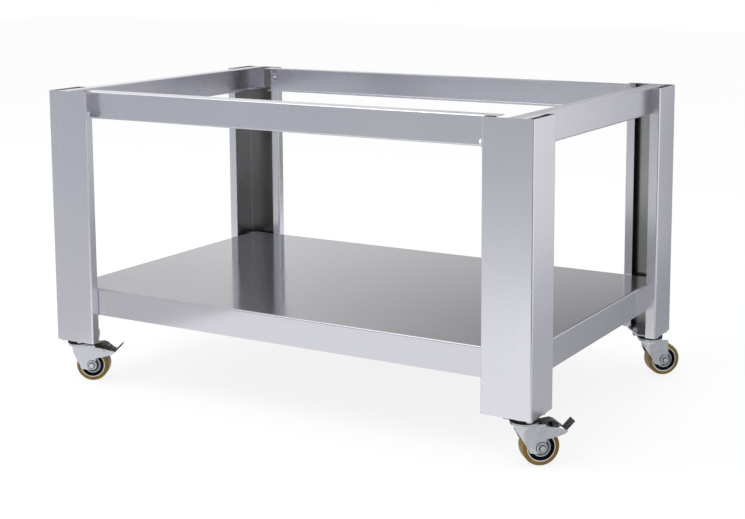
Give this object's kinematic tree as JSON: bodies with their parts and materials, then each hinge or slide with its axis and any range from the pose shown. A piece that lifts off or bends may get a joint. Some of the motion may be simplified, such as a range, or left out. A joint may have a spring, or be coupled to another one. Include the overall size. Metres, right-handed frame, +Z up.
{
  "type": "outdoor pizza oven table",
  "caption": "Open stainless stand for a table-top oven: folded sheet legs, channel rails round an open top, a tray shelf and swivel casters with front brakes.",
  "frame": {"origin": "on the floor, under the middle of the frame's plan as measured across the outer faces of its four legs", "axes": "+X to the table's right-hand side as seen from the front, +Y to the rear, +Z up; the front is the long side with the braked casters"},
  "size_m": [1.3367, 0.8455, 0.726],
  "materials": {
    "frame_steel": "satin brushed stainless sheet, grain along each piece",
    "shelf_steel": "brushed stainless sheet, smoother and more mirror-like than the legs",
    "plate_steel": "plain cold-rolled stainless plate",
    "stainless_fixing": "turned stainless bolt and nut faces",
    "zinc_plated": "bright zinc plating over pressed steel",
    "ball_steel": "polished bearing steel",
    "amber_tyre": "cast amber polyurethane, satin with scuffs on the tread",
    "dark_hub": "moulded dark nylon with a fine grain",
    "black_seal": "black dust seal",
    "black_pedal": "black coated pedal with ribs worn on their edges",
    "shoe_rubber": "black brake rubber"
  },
  "bodies": {
    "frame": {"leg_front_left": "frame_steel", "leg_front_right": "frame_steel", "leg_rear_left": "frame_steel", "leg_rear_right": "frame_steel", "foot_plate_front_left": "plate_steel", "foot_plate_front_right": "plate_steel", "foot_plate_rear_left": "plate_steel", "foot_plate_rear_right": "plate_steel", "front_rail": "frame_steel", "rear_rail": "frame_steel", "left_rail": "frame_steel", "right_rail": "frame_steel", "shelf": "shelf_steel", "shelf_stiffeners": "shelf_steel", "rail_brackets": "plate_steel", "frame_bolts": "stainless_fixing", "frame_nuts": "stainless_fixing", "caster_bolts": "zinc_plated", "caster_nuts": "zinc_plated", "kingpins": "zinc_plated", "caster_plate_fl": "zinc_plated", "caster_plate_fr": "zinc_plated", "caster_plate_rl": "zinc_plated", "caster_plate_rr": "zinc_plated"},
    "caster_fl": {"race_balls_fl": "ball_steel", "dust_seal_fl": "black_seal", "fork_fl": "zinc_plated", "axle_fl": "zinc_plated", "brake_fasteners_fl": "zinc_plated"},
    "wheel_fl": {"hub_fl": "dark_hub", "tyre_fl": "amber_tyre", "bearings_fl": "ball_steel"},
    "pedal_fl": {"brake_pedal_fl": "black_pedal", "brake_shoe_fl": "shoe_rubber"},
    "caster_fr": {"race_balls_fr": "ball_steel", "dust_seal_fr": "black_seal", "fork_fr": "zinc_plated", "axle_fr": "zinc_plated", "brake_fasteners_fr": "zinc_plated"},
    "wheel_fr": {"hub_fr": "dark_hub", "tyre_fr": "amber_tyre", "bearings_fr": "ball_steel"},
    "pedal_fr": {"brake_pedal_fr": "black_pedal", "brake_shoe_fr": "shoe_rubber"},
    "caster_rl": {"race_balls_rl": "ball_steel", "dust_seal_rl": "black_seal", "fork_rl": "zinc_plated", "axle_rl": "zinc_plated"},
    "wheel_rl": {"hub_rl": "dark_hub", "tyre_rl": "amber_tyre", "bearings_rl": "ball_steel"},
    "caster_rr": {"race_balls_rr": "ball_steel", "dust_seal_rr": "black_seal", "fork_rr": "zinc_plated", "axle_rr": "zinc_plated"},
    "wheel_rr": {"hub_rr": "dark_hub", "tyre_rr": "amber_tyre", "bearings_rr": "ball_steel"}
  },
  "joints": [
    {"name": "swivel_fl", "type": "hinge", "parent": "frame", "child": "caster_fl", "pos_m": [-0.6065, -0.371, 0.096], "axis": [0, 0, 1], "continuous": true},
    {"name": "wheel_spin_fl", "type": "hinge", "parent": "caster_fl", "child": "wheel_fl", "pos_m": [-0.57825, -0.35598, 0.04], "axis": [-0.4695, 0.8829, 0], "continuous": true},
    {"name": "brake_fl", "type": "hinge", "parent": "caster_fl", "child": "pedal_fl", "pos_m": [-0.55176, -0.34189, 0.077], "axis": [-0.4695, 0.8829, 0], "range_deg": [0, 14]},
    {"name": "swivel_fr", "type": "hinge", "parent": "frame", "child": "caster_fr", "pos_m": [0.6065, -0.371, 0.096], "axis": [0, 0, 1], "continuous": true},
    {"name": "wheel_spin_fr", "type": "hinge", "parent": "caster_fr", "child": "wheel_fr", "pos_m": [0.63028, -0.34959, 0.04], "axis": [-0.6691, 0.7431, 0], "continuous": true},
    {"name": "brake_fr", "type": "hinge", "parent": "caster_fr", "child": "pedal_fr", "pos_m": [0.65258, -0.32951, 0.077], "axis": [-0.6691, 0.7431, 0], "range_deg": [0, 14]},
    {"name": "swivel_rl", "type": "hinge", "parent": "frame", "child": "caster_rl", "pos_m": [-0.6065, 0.371, 0.096], "axis": [0, 0, 1], "continuous": true},
    {"name": "wheel_spin_rl", "type": "hinge", "parent": "caster_rl", "child": "wheel_rl", "pos_m": [-0.58061, 0.38981, 0.04], "axis": [-0.5878, 0.809, 0], "continuous": true},
    {"name": "swivel_rr", "type": "hinge", "parent": "frame", "child": "caster_rr", "pos_m": [0.6065, 0.371, 0.096], "axis": [0, 0, 1], "continuous": true},
    {"name": "wheel_spin_rr", "type": "hinge", "parent": "caster_rr", "child": "wheel_rr", "pos_m": [0.63028, 0.39241, 0.04], "axis": [-0.6691, 0.7431, 0], "continuous": true}
  ]
}
